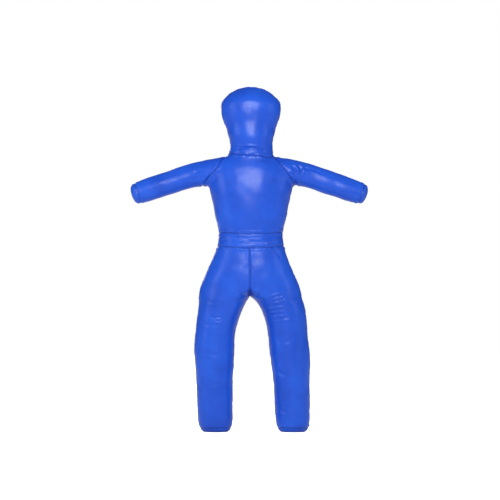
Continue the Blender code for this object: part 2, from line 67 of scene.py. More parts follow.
ARM_UP = np.array((math.sin(ARM_SLOPE), 0.0, math.cos(ARM_SLOPE)))
SHOULDER = np.array((0.178, 0.0, 1.0565))
ARMHOLE_TOP = np.array((0.1015, 0.0, 1.116))
ARMHOLE_PIT = np.array((0.1900, 0.0, 0.995))
SLEEVE_START, CAP_SEAM = 0.056, 0.2905
ZIP_LOW, ZIP_HIGH, ZIP_HALF = 0.850, 1.0765, 0.0078

# How far the upper part is off centre, how far the arms are from it, and the arms' extra length
UPPER_SHIFT, ARM_SHIFT, ARM_EXTRA = 0.0040, 0.0070, 0.0050
SKIN_VOXEL, SKIN_RELAX = 0.0064, 7
CLOTH_VOXEL, CLOTH_FRAMES, CLOTH_LIMIT = 0.0095, 20, 0.0045
# Rows of edges on both sides of a seam, and how wide its valley, ripples and line of painted shade are
SEAM_LEVELS = (-0.0064, -0.0034, -0.0014, 0.0, 0.0014, 0.0034, 0.0064)
VALLEY_WIDTH, RIPPLE_REACH, SEAM_SHADE_WIDTH = 0.0030, 0.014, 0.0035
SWELL, SWELL_PLACE, SWELL_WIDTH = 0.0010, 0.009, 0.006
WRINKLE_GAIN = 1.35
LUMPS, SMALL_LUMPS = (0.0024, 11.0, 1), (0.0012, 27.0, 2)
HEM = (0.0035, 0.0060)
# Where the shoulder's tube and the torso's armhole lip turn to inside the torso
ARMHOLE_CENTRE, ARMHOLE_INWARD = (0.146, 0.0, 1.056), (-0.807, 0.0, -0.590)

# Outlines: height, then half width or half depth
HEAD_W = ((1.095, 0.0820), (1.136, 0.0850), (1.165, 0.0850), (1.188, 0.0875), (1.204, 0.0930), (1.222, 0.0960),
          (1.253, 0.1065), (1.285, 0.1165), (1.310, 0.1190), (1.334, 0.1170), (1.350, 0.1070), (1.366, 0.0905),
          (1.382, 0.0690), (1.393, 0.0430), (1.400, 0.0120))
HEAD_D = ((1.095, 0.0680), (1.136, 0.0705), (1.165, 0.0705), (1.210, 0.0765), (1.270, 0.0895), (1.310, 0.0935),
          (1.340, 0.0865), (1.362, 0.0690), (1.382, 0.0430), (1.394, 0.0220), (1.400, 0.0060))
FACE_D = ((1.095, 0.0680), (1.136, 0.0715), (1.160, 0.0760), (1.180, 0.0825), (1.196, 0.0850), (1.214, 0.0840),
          (1.235, 0.0805), (1.255, 0.0800), (1.280, 0.0830), (1.310, 0.0855), (1.340, 0.0835), (1.362, 0.0715),
          (1.382, 0.0470), (1.394, 0.0240), (1.400, 0.0060))
TORSO_W = ((0.740, 0.1370), (0.780, 0.1300), (0.815, 0.1295), (0.846, 0.1370), (0.879, 0.1445), (0.911, 0.1490),
           (0.944, 0.1580), (0.976, 0.1665), (1.010, 0.1700), (1.040, 0.1670), (1.070, 0.1560), (1.092, 0.1340),
           (1.108, 0.1080), (1.120, 0.0930), (1.145, 0.0840))
CHEST_D = ((0.740, 0.0960), (0.780, 0.0930), (0.815, 0.0935), (0.860, 0.0975), (0.920, 0.1020), (0.970, 0.1035),
           (1.020, 0.1010), (1.060, 0.0940), (1.100, 0.0820), (1.145, 0.0680))
BACK_D = ((0.740, 0.0960), (0.780, 0.0935), (0.815, 0.0950), (0.840, 0.0985), (0.960, 0.0990), (1.075, 0.0985),
          (1.085, 0.0970), (1.115, 0.0840), (1.145, 0.0680))
PELVIS_W = ((0.530, 0.2130), (0.560, 0.2080), (0.600, 0.1960), (0.650, 0.1740), (0.690, 0.1560),
            (0.720, 0.1450), (0.750, 0.1350), (0.790, 0.1300))
PELVIS_D = ((0.545, 0.0960), (0.600, 0.1020), (0.650, 0.1030), (0.700, 0.0995), (0.750, 0.0955), (0.790, 0.0930))
LEG_X = {1: ((0.000, 0.1755), (0.050, 0.1735), (0.150, 0.1715), (0.250, 0.1665), (0.340, 0.1605), (0.400, 0.1540),
             (0.460, 0.1440), (0.520, 0.1250), (0.545, 0.1110)),
         -1: ((0.000, 0.1385), (0.050, 0.1400), (0.150, 0.1425), (0.250, 0.1440), (0.340, 0.1445), (0.400, 0.1410),
              (0.460, 0.1290), (0.520, 0.1130), (0.545, 0.1060))}
LEG_W = ((0.000, 0.0470), (0.003, 0.0550), (0.008, 0.0595), (0.016, 0.0625), (0.030, 0.0665), (0.100, 0.0715),
         (0.200, 0.0740), (0.280, 0.0785), (0.340, 0.0805), (0.400, 0.0795), (0.460, 0.0840), (0.520, 0.0935),
         (0.545, 0.0990))
LEG_D = ((0.000, 0.0480), (0.003, 0.0560), (0.008, 0.0605), (0.016, 0.0640), (0.030, 0.0665), (0.100, 0.0710),
         (0.200, 0.0740), (0.340, 0.0785), (0.400, 0.0795), (0.460, 0.0835), (0.545, 0.0940))
ARM_TOP = ((-0.090, 0.0330), (-0.037, 0.0405), (0.000, 0.0450), (0.039, 0.0484), (0.056, 0.0488), (0.160, 0.0472),
           (0.262, 0.0452), (0.282, 0.0435), (0.293, 0.0405), (0.303, 0.0335), (0.308, 0.0210), (0.3105, 0.0060))
ARM_LOW = ((-0.090, 0.0550), (0.000, 0.0560), (0.030, 0.0535), (0.056, 0.0488), (0.160, 0.0472), (0.262, 0.0452),
           (0.282, 0.0435), (0.293, 0.0405), (0.303, 0.0335), (0.308, 0.0210), (0.3105, 0.0060))
ARM_D = ((-0.090, 0.0660), (-0.020, 0.0640), (0.056, 0.0495), (0.160, 0.0472), (0.262, 0.0452), (0.280, 0.0435),
         (0.293, 0.0405), (0.303, 0.0335), (0.308, 0.0210), (0.3105, 0.0060))


def smooth(t):
    t = np.clip(t, 0.0, 1.0)
    return t * t * (3 - 2 * t)


def along(table, t):
    """The value at t of a smooth curve through a table's points."""
    xs, ys = np.array(table).T
    slopes = np.gradient(ys, xs)
    t = float(np.clip(t, xs[0], xs[-1]))
    i = min(int(np.searchsorted(xs, t, "right")) - 1, len(xs) - 2)
    h = xs[i + 1] - xs[i]
    s = (t - xs[i]) / h
    return ((2 * s**3 - 3 * s**2 + 1) * ys[i] + (s**3 - 2 * s**2 + s) * h * slopes[i]
            + (3 * s**2 - 2 * s**3) * ys[i + 1] + (s**3 - s**2) * h * slopes[i + 1])


def oval(half_x, half_y, power, count=72):
    a = np.arange(count) * 2 * math.pi / count
    c, s = np.cos(a), np.sin(a)
    return (half_x * np.sign(c) * np.abs(c) ** (2 / power), half_y * np.sign(s) * np.abs(s) ** (2 / power))


def level_ring(centre, half_x, front, back, z, power):
    x, y = oval(half_x, 1.0, power)
    return np.stack([x + centre, np.where(y < 0, y * front, y * back), np.full_like(x, z)], 1)


# The closed form

def head_rings():
    heights = [*np.arange(1.095, 1.335, 0.008), *np.arange(1.335, 1.3905, 0.0045), 1.394, 1.397, 1.3992, 1.400]
    return [level_ring(0.003 * smooth((1.20 - z) / 0.06), along(HEAD_W, z) * 1.01, along(FACE_D, z),
                       along(HEAD_D, z), z, 2.15) for z in heights]


def torso_rings():
    return [level_ring(0.0, along(TORSO_W, z), along(CHEST_D, z), along(BACK_D, z), z, 2.35)
            for z in np.arange(0.745, 1.1451, 0.008)]


def pelvis_rings():
    return [level_ring(0.0, along(PELVIS_W, z), along(PELVIS_D, z), along(PELVIS_D, z), z, 2.3)
            for z in np.arange(0.606, 0.786, 0.008)]


def leg_rings(side):
    """A leg's rings. Above the crotch they turn into one half of the pelvis."""
    rings = []
    for z in [0.0, 0.003, 0.008, 0.016, 0.023, *np.arange(0.030, 0.620, 0.006)]:
        ring = level_ring(along(LEG_X[side], z), along(LEG_W, z), along(LEG_D, z), along(LEG_D, z), z, 2.1)
        if z > LEG_TOP:
            depth = along(PELVIS_D, z)
            half = level_ring(0.0, along(PELVIS_W, z), depth, depth, z, 2.3)
            half[:, 0] = np.maximum(half[:, 0], -0.004)
            share = smooth((z - LEG_TOP) / LEG_JOIN)
            ring = ring * (1 - share) + half * share
        rings.append(ring * (side, 1, 1))
    return rings


def arm_rings(side):
    rings = []
    for d in [*np.arange(-0.090, 0.278, 0.008), 0.284, 0.290, 0.295, 0.299, 0.303, 0.306, 0.309, 0.3105]:
        top, low, depth = along(ARM_TOP, d), along(ARM_LOW, d), along(ARM_D, d)
        y, up = oval(depth, (top + low) / 2, 2.1)
        centre = SHOULDER + ARM_OUT * d + ARM_UP * (top - low) / 2
        ring = centre + np.outer(y, (0, 1, 0)) + np.outer(up, ARM_UP)
        rings.append(ring * (side, 1, 1))
    return rings


def closed_form():
    """Overlapping closed lofts of the head, torso, pelvis, arms and legs in one mesh."""
    made = bmesh.new()
    limbs = [rings_of(side) for rings_of in (leg_rings, arm_rings) for side in (1, -1)]
    for rings in (head_rings(), torso_rings(), pelvis_rings(), *limbs):
        rows = [[made.verts.new(p) for p in ring] for ring in rings]
        for low, high in zip(rows, rows[1:]):
            for i in range(len(low)):
                made.faces.new((low[i - 1], low[i], high[i], high[i - 1]))
        made.faces.new(rows[0][::-1])
        made.faces.new(rows[-1])
    bmesh.ops.recalc_face_normals(made, faces=made.faces)
    mesh = bpy.data.meshes.new("form")
    made.to_mesh(mesh)
    made.free()
    co = points(mesh)
    arm = smooth((np.abs(co[:, 0]) - 0.20) / 0.10) * (co[:, 2] > 0.85)
    sideways = arm * (np.sign(co[:, 0]) * ARM_EXTRA - ARM_SHIFT)
    co[:, 0] += UPPER_SHIFT * smooth((co[:, 2] - 0.62) / 0.22) + sideways
    set_points(mesh, co)
    return mesh


def remeshed(mesh, size):
    """The outside of a mesh as an even skin of quads."""
    holder = bpy.data.objects.new("form", mesh)
    bpy.context.scene.collection.objects.link(holder)
    voxels = holder.modifiers.new("skin", "REMESH")
    voxels.mode = "VOXEL"
    voxels.voxel_size = size
    return evaluated(holder)


def evaluated(holder):
    """The mesh that an object's modifiers give. The object is removed."""
    found = bpy.data.meshes.new_from_object(holder.evaluated_get(bpy.context.evaluated_depsgraph_get()))
    bpy.data.objects.remove(holder)
    return found


def points(mesh):
    co = np.zeros(len(mesh.vertices) * 3, np.float32)
    mesh.vertices.foreach_get("co", co)
    return co.reshape(-1, 3).astype(float)


def set_points(mesh, co):
    mesh.vertices.foreach_set("co", co.astype(np.float32).ravel())
    mesh.update()


def relax(mesh, rounds, shrink=0.5, grow=-0.52):
    """Evens out a mesh without making it thinner."""
    co = points(mesh)
    pairs = np.zeros(len(mesh.edges) * 2, np.int32)
    mesh.edges.foreach_get("vertices", pairs)
    a, b = pairs.reshape(-1, 2).T
    count = np.bincount(np.concatenate([a, b]), minlength=len(co))[:, None]
    for _ in range(rounds):
        for share in (shrink, grow):
            total = np.zeros_like(co)
            for axis in range(3):
                total[:, axis] = (np.bincount(a, co[b, axis], len(co)) + np.bincount(b, co[a, axis], len(co)))
            co += share * (total / count - co)
    set_points(mesh, co)


# Seams: each gives a signed distance from its line, and says where it runs

def mirrored(p):
    return np.stack([np.abs(p[:, 0]), p[:, 1], p[:, 2]], 1)


def arm_distance(p):
    return (mirrored(p) - SHOULDER) @ ARM_OUT


def armhole(p):
    rise = (ARMHOLE_TOP - ARMHOLE_PIT) / np.linalg.norm(ARMHOLE_TOP - ARMHOLE_PIT)
    out = np.array((rise[2], 0.0, -rise[0]))
    wave = 0.0016 * np.sin(70 * p[:, 2] + 40 * p[:, 1] + p[:, 0] * 9)
    return (mirrored(p) - ARMHOLE_PIT) @ out + wave


def neck_line(p):
    """Distance above the neck seam, which dips at the front towards the dummy's left shoulder."""
    front = smooth(0.5 - p[:, 1] / 0.08)
    height = NECK_SEAM - front * (0.0085 + 0.0060 * p[:, 0] / 0.085) + 0.0015 * np.sin(60 * p[:, 0] + 0.9)
    return p[:, 2] - height - 0.05 * smooth((np.abs(p[:, 0] - 0.004) - 0.089) / 0.012)


def waist_curve(p):
    """How far the front of the waistband sags in the middle."""
    return smooth(-p[:, 1] / 0.05) * (0.0085 * (p[:, 0] / 0.13) ** 2 - 0.0040) + 0.0008 * np.sin(60 * p[:, 0])


def band_top(p):
    return p[:, 2] - BAND_TOP - waist_curve(p)


def band_low(p):
    return p[:, 2] - BAND_LOW - waist_curve(p)


def side_line(p):
    return p[:, 1] - 0.0012 * np.sin(38 * p[:, 2] + 2 * p[:, 0])


def middle_line(p):
    return p[:, 0] - 0.0022 * np.sin(22 * p[:, 2]) * smooth(-p[:, 1] / 0.05) * smooth((0.80 - p[:, 2]) / 0.02)


def beside_chest(p):
    return (np.abs(p[:, 0]) > 0.094) & (p[:, 2] < 1.13)


def on_arm(p):
    return (armhole(p) > 0) & beside_chest(p) & (p[:, 2] > 0.88)


def on_head(p):
    return (neck_line(p) > 0) & (np.abs(p[:, 0]) < 0.14)


def on_torso(p):
    return ~on_arm(p) & ~on_head(p) & (band_top(p) > 0)


def on_legs(p):
    return (band_low(p) < 0) & (p[:, 2] > SOLE_SEAM)


def near(value, reach=0.012):
    return np.abs(value) < reach


# name: (distance, where it runs, valley depth, pucker size)
SEAMS = {
    "neck": (neck_line, lambda p: near(neck_line(p)), 0.0032, 0.0022),
    "armhole": (armhole, lambda p: beside_chest(p) & (p[:, 2] > 0.96), 0.0024, 0.0022),
    "band_top": (band_top, lambda p: near(band_top(p)), 0.0022, 0.0012),
    "band_low": (band_low, lambda p: near(band_low(p)), 0.0022, 0.0014),
    "head_side": (side_line, lambda p: neck_line(p) > -0.001, 0.0022, 0.0024),
    "torso_side": (side_line, lambda p: on_torso(p) & (np.abs(p[:, 0]) > 0.05), 0.0020, 0.0016),
    "leg_side": (side_line, lambda p: on_legs(p), 0.0020, 0.0016),
    "front_middle": (middle_line, lambda p: (band_low(p) < 0) & (p[:, 2] > 0.50) & near(p[:, 0], 0.03),
                     0.0036, 0.0008),
    "back_middle": (middle_line, lambda p: on_torso(p) & (p[:, 1] > 0.03), 0.0026, 0.0005),
    "sole": (lambda p: p[:, 2] - SOLE_SEAM, lambda p: p[:, 2] < 0.04, 0.0018, 0.0006),
    "cap": (lambda p: arm_distance(p) - CAP_SEAM, lambda p: on_arm(p), 0.0018, 0.0006),
}
HIDDEN = {
    "knee": (lambda p: p[:, 2] - KNEE_SPLIT, lambda p: near(p[:, 2] - KNEE_SPLIT)),
    "sleeve": (lambda p: arm_distance(p) - SLEEVE_START,
               lambda p: on_arm(p) & near(arm_distance(p) - SLEEVE_START)),
    "zip_left": (lambda p: p[:, 0] - ZIP_HALF, lambda p: on_torso(p) & (p[:, 1] > 0.03)),
    "zip_right": (lambda p: p[:, 0] + ZIP_HALF, lambda p: on_torso(p) & (p[:, 1] > 0.03)),
    "zip_low": (lambda p: p[:, 2] - ZIP_LOW, lambda p: (p[:, 1] > 0.03) & (np.abs(p[:, 0]) < 0.02)),
    "zip_high": (lambda p: p[:, 2] - ZIP_HIGH, lambda p: (p[:, 1] > 0.03) & (np.abs(p[:, 0]) < 0.02)),
}

class Cutter:
    """Cuts a mesh along lines, keeping its points in an array beside it."""

    def __init__(self, made):
        self.made = made
        made.verts.ensure_lookup_table()
        self.co = np.array([v.co for v in made.verts])

    def cut(self, distance, where, level):
        """Adds edges along the line where a seam's distance has the given value."""
        verts, reach = self.made.verts, 0.012
        value = distance(self.co) - level
        value[np.abs(value) < 2e-5] = 0.0
        chosen = np.nonzero((np.abs(value) < reach) & where(self.co))[0].tolist()
        values = dict(zip(chosen, value[chosen].tolist()))
        on_line = {verts[i] for i in chosen if values[i] == 0.0}
        crossing = []
        for i in chosen:
            if values[i] >= 0:
                continue
            for edge in verts[i].link_edges:
                other = values.get(edge.other_vert(verts[i]).index, -1.0)
                if other > 0:
                    crossing.append((edge, verts[i], values[i] / (values[i] - other)))
        new = []
        for edge, start, share in crossing:
            _, vertex = bmesh.utils.edge_split(edge, start, share)
            vertex.index = len(self.co) + len(new)
            new.append(vertex)
            on_line.add(vertex)
        touched = {f for v in on_line for f in v.link_faces}
        for face in sorted(touched, key=lambda f: min(v.index for v in f.verts)):
            found = [v for v in face.verts if v in on_line]
            if len(found) == 2 and not any(set(e.verts) == set(found) for e in face.edges):
                bmesh.utils.face_split(face, found[0], found[1])
        if new:
            self.co = np.concatenate([self.co, np.array([v.co for v in new])])
            verts.ensure_lookup_table()


PIECES = ("head_front", "head_back", "torso_front", "torso_back_left", "torso_back_right", "shoulder_left",
          "shoulder_right", "sleeve_left", "sleeve_right", "arm_cap_left", "arm_cap_right", "belt",
          "thigh_front_left", "thigh_front_right", "thigh_back_left", "thigh_back_right", "shin_front_left",
          "shin_front_right", "shin_back_left", "shin_back_right", "foot_left", "foot_right")


def piece_of(p):
    """The panel that each point belongs to, as a number in PIECES, or -1 in the zip's opening."""
    front = side_line(p) < 0
    right_step = np.where(p[:, 0] > 0, 0, 1)
    middle_step = np.where(middle_line(p) > 0, 0, 1)
    out = np.full(len(p), PIECES.index("belt"))
    torso = np.where(front, PIECES.index("torso_front"), PIECES.index("torso_back_left") + middle_step)
    out = np.where(on_torso(p), torso, out)
    legs = band_low(p) < 0
    high = PIECES.index("thigh_front_left") + np.where(front, 0, 2) + middle_step
    low = PIECES.index("shin_front_left") + np.where(front, 0, 2) + right_step
    out = np.where(legs, np.where(p[:, 2] > KNEE_SPLIT, high, low), out)
    out = np.where(p[:, 2] < SOLE_SEAM, PIECES.index("foot_left") + right_step, out)
    arm, d = on_arm(p), arm_distance(p)
    out = np.where(arm, PIECES.index("sleeve_left") + right_step, out)
    out = np.where(arm & (d < SLEEVE_START), PIECES.index("shoulder_left") + right_step, out)
    out = np.where(arm & (d > CAP_SEAM), PIECES.index("arm_cap_left") + right_step, out)
    out = np.where(on_head(p), np.where(front, 0, 1), out)
    opening = (np.abs(p[:, 0]) < ZIP_HALF) & (p[:, 2] > ZIP_LOW) & (p[:, 2] < ZIP_HIGH) & (p[:, 1] > 0.03)
    return np.where(opening, -1, out)


# Wrinkles: points (x, z) on the front or back, half width and depth. A negative depth is a raised fold.
WRINKLES = [
    # neck folds under the chin
    ("front", ((-0.062, 1.150), (-0.030, 1.147), (0.005, 1.150), (0.045, 1.142), (0.070, 1.139)), 0.0042, 0.0022),
    ("front", ((-0.035, 1.160), (0.000, 1.158), (0.030, 1.154)), 0.0050, -0.0014),
    ("front", ((-0.070, 1.128), (-0.040, 1.131), (-0.010, 1.129)), 0.0050, 0.0012),
    ("front", ((0.020, 1.127), (0.050, 1.129), (0.078, 1.126)), 0.0050, 0.0012),
    # pinched wrinkles of the dummy's left shoulder
    ("front", ((0.166, 1.080), (0.184, 1.062), (0.177, 1.040)), 0.0058, 0.0036),
    ("front", ((0.188, 1.084), (0.208, 1.066), (0.203, 1.046)), 0.0054, 0.0032),
    ("front", ((0.212, 1.080), (0.230, 1.066), (0.250, 1.060)), 0.0052, 0.0026),
    ("front", ((0.172, 1.056), (0.190, 1.050), (0.214, 1.054)), 0.0046, -0.0022),
    ("front", ((0.236, 1.072), (0.262, 1.060), (0.290, 1.049)), 0.0045, 0.0016),
    ("front", ((0.176, 1.030), (0.182, 1.012), (0.192, 1.000)), 0.0050, 0.0022),
    # the dummy's right shoulder
    ("front", ((-0.176, 1.052), (-0.200, 1.056), (-0.230, 1.050)), 0.0055, 0.0022),
    ("front", ((-0.186, 1.035), (-0.214, 1.030), (-0.245, 1.020)), 0.0060, 0.0014),
    ("front", ((-0.160, 1.045), (-0.172, 1.020), (-0.186, 1.003)), 0.0055, 0.0020),
    # waistband
    ("front", ((-0.098, 0.790), (-0.052, 0.785), (-0.012, 0.788)), 0.0050, 0.0012),
    ("front", ((-0.010, 0.772), (0.030, 0.768), (0.060, 0.773)), 0.0050, 0.0012),
    ("front", ((-0.082, 0.768), (-0.050, 0.763), (-0.020, 0.766)), 0.0046, 0.0009),
    ("front", ((0.058, 0.757), (0.080, 0.772), (0.108, 0.789)), 0.0055, -0.0024),
    ("front", ((0.066, 0.772), (0.088, 0.788), (0.112, 0.799)), 0.0040, 0.0018),
    ("front", ((0.086, 0.758), (0.108, 0.730), (0.127, 0.698)), 0.0060, 0.0022),
    ("front", ((0.098, 0.744), (0.112, 0.722), (0.120, 0.705)), 0.0055, -0.0014),
    ("front", ((-0.118, 0.770), (-0.105, 0.778), (-0.090, 0.774)), 0.0045, 0.0014),
    # tops of the thighs
    ("front", ((-0.060, 0.585), (-0.040, 0.560), (-0.020, 0.547)), 0.0080, 0.0022),
    ("front", ((0.062, 0.585), (0.042, 0.562), (0.022, 0.547)), 0.0080, 0.0022),
    # wrinkles of the dummy's left thigh
    ("front", ((0.080, 0.538), (0.105, 0.548), (0.132, 0.552)), 0.0045, 0.0020),
    ("front", ((0.092, 0.527), (0.118, 0.538), (0.140, 0.541)), 0.0040, 0.0022),
    ("front", ((0.112, 0.545), (0.130, 0.533), (0.135, 0.522)), 0.0042, -0.0018),
    ("front", ((0.070, 0.505), (0.100, 0.513), (0.140, 0.517)), 0.0045, 0.0013),
    ("front", ((0.062, 0.487), (0.095, 0.493), (0.150, 0.500)), 0.0045, 0.0014),
    ("front", ((0.075, 0.470), (0.110, 0.480), (0.145, 0.478)), 0.0045, 0.0012),
    ("front", ((0.090, 0.455), (0.125, 0.460), (0.170, 0.466)), 0.0045, 0.0013),
    # wrinkles of the dummy's right thigh and knee
    ("front", ((-0.180, 0.532), (-0.150, 0.526), (-0.110, 0.528)), 0.0060, 0.0011),
    ("front", ((-0.165, 0.470), (-0.140, 0.463), (-0.110, 0.466)), 0.0045, 0.0018),
    ("front", ((-0.150, 0.455), (-0.128, 0.452), (-0.108, 0.456)), 0.0042, 0.0014),
    ("front", ((-0.195, 0.440), (-0.160, 0.433), (-0.120, 0.437)), 0.0060, 0.0010),
    # lower legs
    ("front", ((0.110, 0.250), (0.128, 0.236), (0.150, 0.232)), 0.0065, 0.0016),
    ("front", ((0.118, 0.090), (0.140, 0.082), (0.152, 0.070)), 0.0050, 0.0014),
    ("front", ((0.105, 0.372), (0.135, 0.366), (0.165, 0.368)), 0.0060, 0.0010),
    ("front", ((-0.190, 0.320), (-0.150, 0.314), (-0.110, 0.317)), 0.0070, 0.0010),
    ("front", ((-0.180, 0.200), (-0.145, 0.196), (-0.110, 0.199)), 0.0070, 0.0008),
    # back: waist, seat, knees and armholes
    ("back", ((-0.110, 0.820), (-0.060, 0.830), (-0.012, 0.826)), 0.0055, 0.0016),
    ("back", ((0.018, 0.829), (0.066, 0.833), (0.112, 0.822)), 0.0055, 0.0018),
    ("back", ((-0.100, 0.735), (-0.060, 0.722), (-0.020, 0.728)), 0.0055, 0.0015),
    ("back", ((0.030, 0.731), (0.070, 0.720), (0.105, 0.733)), 0.0055, 0.0015),
    ("back", ((-0.120, 0.560), (-0.075, 0.548), (-0.030, 0.556)), 0.0070, 0.0026),
    ("back", ((0.032, 0.554), (0.080, 0.546), (0.128, 0.560)), 0.0070, 0.0026),
    ("back", ((-0.190, 0.410), (-0.145, 0.400), (-0.100, 0.408)), 0.0055, 0.0022),
    ("back", ((-0.180, 0.388), (-0.140, 0.380), (-0.105, 0.385)), 0.0050, 0.0015),
    ("back", ((0.108, 0.402), (0.150, 0.394), (0.198, 0.404)), 0.0055, 0.0022),
    ("back", ((0.115, 0.424), (0.155, 0.419), (0.190, 0.425)), 0.0050, 0.0014),
    ("back", ((0.168, 1.050), (0.190, 1.046), (0.220, 1.050)), 0.0055, 0.0020),
    ("back", ((0.172, 1.030), (0.196, 1.022), (0.222, 1.020)), 0.0055, 0.0016),
    ("back", ((-0.168, 1.054), (-0.194, 1.048), (-0.222, 1.052)), 0.0055, 0.0020),
    ("back", ((-0.172, 1.026), (-0.196, 1.020), (-0.226, 1.018)), 0.0055, 0.0016),
    ("back", ((-0.055, 1.156), (0.000, 1.162), (0.052, 1.157)), 0.0055, 0.0018),
    ("back", ((-0.040, 1.176), (0.000, 1.181), (0.045, 1.175)), 0.0055, 0.0012),
]


def noise_at(co, scale, seed):
    shift = Vector((seed * 7.13, seed * 3.71, seed * 5.37))
    return np.array([noise.noise(Vector(p) * scale + shift) for p in co])


def wrinkle_height(co, normal):
    out = np.zeros(len(co))
    for face, line, width, depth in WRINKLES:
        sign = -1.0 if face == "front" else 1.0
        line = np.array(line)
        box = (co[:, 1] * sign > 0) & (co[:, 0] > line[:, 0].min() - 0.03) & (co[:, 0] < line[:, 0].max() + 0.03)
        box &= (co[:, 2] > line[:, 1].min() - 0.03) & (co[:, 2] < line[:, 1].max() + 0.03)
        chosen = np.nonzero(box)[0]
        p = co[chosen][:, (0, 2)]
        best, where = np.full(len(p), 1.0), np.zeros(len(p))
        for i, (a, b) in enumerate(zip(line, line[1:])):
            span = b - a
            t = np.clip(((p - a) @ span) / (span @ span), 0, 1)
            gap = np.linalg.norm(p - (a + t[:, None] * span), axis=1)
            closer = gap < best
            best = np.where(closer, gap, best)
            where = np.where(closer, (i + t) / (len(line) - 1), where)
        taper = smooth(where * 4) * smooth((1 - where) * 4)
        facing = smooth(normal[chosen, 1] * sign * 2.5)
        shape = np.exp(-(best / width) ** 2) - 0.45 * np.exp(-((best - 2.1 * width) / (1.1 * width)) ** 2)
        out[chosen] -= depth * taper * facing * shape
    return out


def pucker_height(co):
    """The ripples that run into the seams and the seams' valleys. Also how close each point is to a seam, which
    sets how much painted shade the seam's valley gets.
    """
    height, closeness, sunk = np.zeros(len(co)), np.zeros(len(co)), np.zeros(len(co))
    ripple = noise_at(co, 62.0, 3) + 0.6 * noise_at(co, 120.0, 4)
    for distance, where, valley, pucker in SEAMS.values():
        s = np.where(where(co), np.abs(distance(co)), 1.0)
        sunk = np.maximum(sunk, valley * np.exp(-s / VALLEY_WIDTH))
        height += pucker * ripple * np.exp(-(s / RIPPLE_REACH) ** 2)
        height += SWELL * np.exp(-((s - SWELL_PLACE) / SWELL_WIDTH) ** 2)
        closeness = np.maximum(closeness, np.exp(-s / SEAM_SHADE_WIDTH))
    return height - sunk, closeness


def blown_up(mesh):
    """How each point of the form moves when it is stuffed tight: cloth under pressure, held at its seams."""
    coarse = remeshed(mesh, CLOTH_VOXEL)
    relax(coarse, 5)
    start = points(coarse)
    holder = bpy.data.objects.new("stuffed", coarse)
    bpy.context.scene.collection.objects.link(holder)
    held = holder.vertex_groups.new(name="sewn")
    hold = np.full(len(start), 0.02)
    for distance, where, _, _ in SEAMS.values():
        s = np.where(where(start), np.abs(distance(start)), 1.0)
        hold = np.maximum(hold, smooth((0.010 - s) / 0.005))
    hold = np.where(start[:, 2] < 0.012, 1.0, hold)
    for i, weight in enumerate(hold.tolist()):
        held.add([i], weight, "REPLACE")
    cloth = holder.modifiers.new("stuffing", "CLOTH")
    settings = cloth.settings
    settings.quality = 4
    settings.mass = 0.4
    settings.tension_stiffness = settings.compression_stiffness = 25
    settings.shear_stiffness = 12
    settings.bending_stiffness = 1.5
    settings.use_pressure = True
    settings.uniform_pressure_force = 36.0
    settings.vertex_group_mass = "sewn"
    settings.effector_weights.gravity = 0.0
    cloth.collision_settings.use_collision = False
    cloth.collision_settings.use_self_collision = False
    cloth.point_cache.frame_start, cloth.point_cache.frame_end = 1, CLOTH_FRAMES
    scene = bpy.context.scene
    for step in range(1, CLOTH_FRAMES + 1):
        scene.frame_set(step)
    after = points(holder.evaluated_get(bpy.context.evaluated_depsgraph_get()).to_mesh())
    bpy.data.objects.remove(holder)
    scene.frame_set(1)
    moved = after - start
    size = np.linalg.norm(moved, axis=1, keepdims=True)
    return start, moved * (CLOTH_LIMIT * np.tanh(size / CLOTH_LIMIT) / np.maximum(size, 1e-9))


def carried(co, start, moved):
    """The cloth's movement at other points, from its four nearest ones."""
    tree = kdtree.KDTree(len(start))
    for i, p in enumerate(start):
        tree.insert(p, i)
    tree.balance()
    out = np.zeros_like(co)
    for i, p in enumerate(co):
        near_by = tree.find_n(p, 4)
        weights = np.array([1 / (gap + 0.002) ** 2 for _, _, gap in near_by])
        out[i] = weights @ moved[[k for _, k, _ in near_by]] / weights.sum()
    return out


def make_skin():
    """The whole skin, cut along all seams. A face's material number is its panel's place in PIECES, plus one."""
    form = closed_form()
    bumps = blown_up(form.copy())
    mesh = remeshed(form, SKIN_VOXEL)
    relax(mesh, SKIN_RELAX)
    if bumps:
        set_points(mesh, points(mesh) + carried(points(mesh), *bumps))
        relax(mesh, 1)
    holder = bpy.data.objects.new("finer", mesh)
    bpy.context.scene.collection.objects.link(holder)
    finer = holder.modifiers.new("finer", "SUBSURF")
    finer.levels = finer.render_levels = 1
    mesh = evaluated(holder)
    made = bmesh.new()
    made.from_mesh(mesh)
    cutter = Cutter(made)
    for distance, where, _, _ in SEAMS.values():
        for level in SEAM_LEVELS:
            cutter.cut(distance, where, level)
    for distance, where in HIDDEN.values():
        cutter.cut(distance, where, 0.0)
    made.normal_update()
    made.verts.ensure_lookup_table()
    co = np.array([v.co for v in made.verts])
    normal = np.array([v.normal for v in made.verts])
    height, closeness = pucker_height(co)
    height += WRINKLE_GAIN * wrinkle_height(co, normal)
    for size, scale, seed in (LUMPS, SMALL_LUMPS):
        height += size * noise_at(co, scale, seed)
    flat = smooth((co[:, 2] - 0.004) / 0.02)
    zip_area = (co[:, 1] > 0.03) & (np.abs(co[:, 0]) < 0.035) & (co[:, 2] > 0.83) & (co[:, 2] < 1.10)
    height = np.where(zip_area, height * smooth((np.abs(co[:, 0]) - 0.012) / 0.02), height) * flat
    rest = co + normal * height[:, None]
    faces = list(made.faces)
    centres = np.array([f.calc_center_median() for f in faces])
    numbers = piece_of(centres)
    # Each point's closeness to a seam, which the leather turns into painted shade in the seam valleys
    seam = made.verts.layers.float.new("seam")
    for vertex, place, value in zip(made.verts, rest, closeness):
        vertex.co = place
        vertex[seam] = value
    for vertex in made.verts:
        if vertex.co.z < 0.002:
            vertex.co.z = 0.0
    for face, number in zip(faces, numbers):
        face.material_index = int(number) + 1
        face.smooth = True
    made.normal_update()
    return made


# Materials

def node(tree, kind, **values):
    made = tree.nodes.new(kind)
    for key, value in values.items():
        if key.startswith("in_"):
            made.inputs[key[3:]].default_value = value
        else:
            setattr(made, key, value)
    return made


